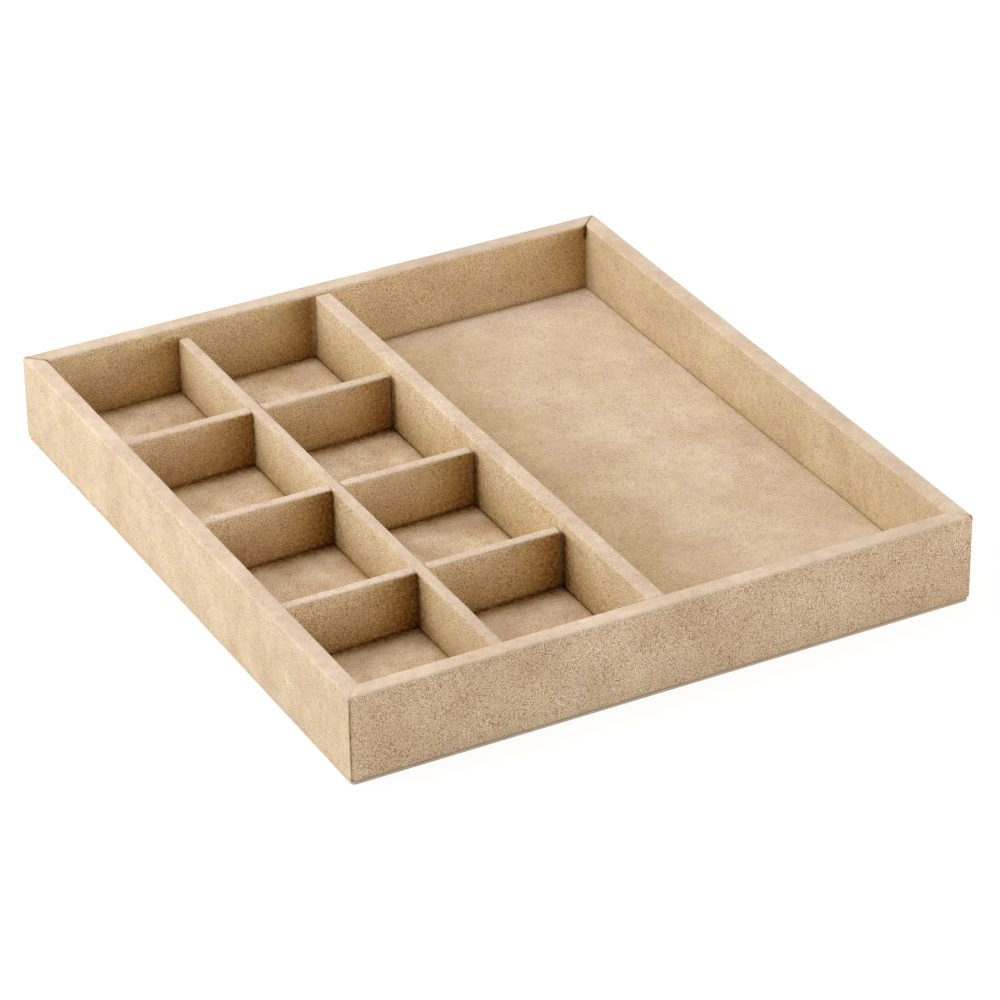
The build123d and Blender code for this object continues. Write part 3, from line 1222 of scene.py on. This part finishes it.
@dataclass
class Studio:
    """A white floor, soft lamps and the camera."""

    softboxes: tuple[Softbox, ...] = (
        Softbox("top_softbox", azimuth=0, elevation=88, power=4.7),
        Softbox("left_softbox", azimuth=-90, elevation=18, power=6.6, size=1.0),
        Softbox("near_softbox", azimuth=-112, elevation=40, power=4.3, distance=0.9, size=0.7),
        Softbox("back_softbox", azimuth=180, elevation=68, power=5.8),
        Softbox("right_softbox", azimuth=90, elevation=42, power=5.4),
        Softbox("low_softbox", azimuth=45, elevation=8, power=7.3, size=0.4),
    )
    ambient: float = 0.3
    floor_radius: float = 6.0
    floor_segments: int = 96
    floor_white: float = 0.9
    floor_shadow: float = 0.13
    floor_glow: float = 0.9
    picture_size: int = 1000
    focal_pixels: float = 4593.65
    sensor: float = 36.0
    target: Vector = Vector((-3.58, -22.14, 20.0)) * MM
    camera_azimuth: float = -27.75
    camera_elevation: float = 29.86
    camera_distance: float = 1916.5 * MM
    camera_roll: float = -0.80

    def lay_floor(self) -> None:
        """Lays a round floor that looks white and keeps a faint shadow."""
        mesh = bmesh.new()
        bmesh.ops.create_circle(mesh, cap_ends=True, segments=self.floor_segments, radius=self.floor_radius)
        floor = add_mesh("studio_floor", mesh)
        graph = Graph(bpy.data.materials.new(floor.name))
        plain = graph.add("BsdfDiffuse", {"Color": (self.floor_white,) * 3 + (1.0,)})
        shaded = graph.add("BsdfDiffuse", {"Color": (self.floor_shadow,) * 3 + (1.0,)})
        glow = graph.add("Emission", {"Strength": self.floor_glow})
        white = graph.add("AddShader", {0: shaded.outputs[0], 1: glow.outputs[0]})
        graph.part_rays("OutputMaterial", plain, white)
        floor.data.materials.append(graph.owner)

    def fill_air(self) -> None:
        """Fills the studio with an even light, white where it is seen."""
        graph = Graph(bpy.data.worlds.new("studio_air"))
        even = graph.add("Background", {"Strength": self.ambient})
        white = graph.add("Background", {"Strength": 1.0})
        for node in (even, white):
            node.inputs["Color"].default_value = (1.0, 1.0, 1.0, 1.0)
        graph.part_rays("OutputWorld", even, white)
        bpy.context.scene.world = graph.owner

    def set_camera(self) -> None:
        """Sets the camera where the photograph was taken from."""
        roll = radians(self.camera_roll)
        back = way_to(self.camera_azimuth, self.camera_elevation)
        right = (-back).cross(UP).normalized()
        above = right.cross(-back)
        across = right * cos(roll) + above * sin(roll)
        upright = above * cos(roll) - right * sin(roll)
        camera = bpy.data.cameras.new("camera")
        camera.sensor_width = self.sensor
        camera.lens = self.sensor * self.focal_pixels / self.picture_size
        obj = add_object("camera", camera)
        turned = Matrix((across, upright, back)).transposed().to_4x4()
        obj.matrix_world = Matrix.Translation(self.target + back * self.camera_distance) @ turned
        bpy.context.scene.camera = obj

    def build(self) -> None:
        """Sets up the whole studio."""
        self.lay_floor()
        self.fill_air()
        for softbox in self.softboxes:
            softbox.hang()
        self.set_camera()
        bpy.context.scene.view_settings.view_transform = "Standard"
        LOG.info("studio: %d lamps", len(self.softboxes))


def write_size() -> None:
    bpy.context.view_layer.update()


def main() -> None:
    """Builds the tray piece by piece, then the studio round it."""
    logging.basicConfig(level=logging.INFO, format="%(name)s %(message)s")
    WallSuede.from_frame().build(WALL_SUEDES)
    FloorSuede.from_frame("small_side").build(SMALL_FLOOR_SUEDE, shift=Vector((0.7, 0.1, 0.3)))
    FloorSuede.from_frame("large_side").build(FLOOR_SUEDE, shift=Vector((0.2, 0.9, 0.6)))
    Dividers().build(MAIN_SUEDE, CENTRE_SUEDE, CROSS_SUEDES)
    Boards().dress()
    Studio().build()
    write_size()


if __name__ == "__main__":
    main()
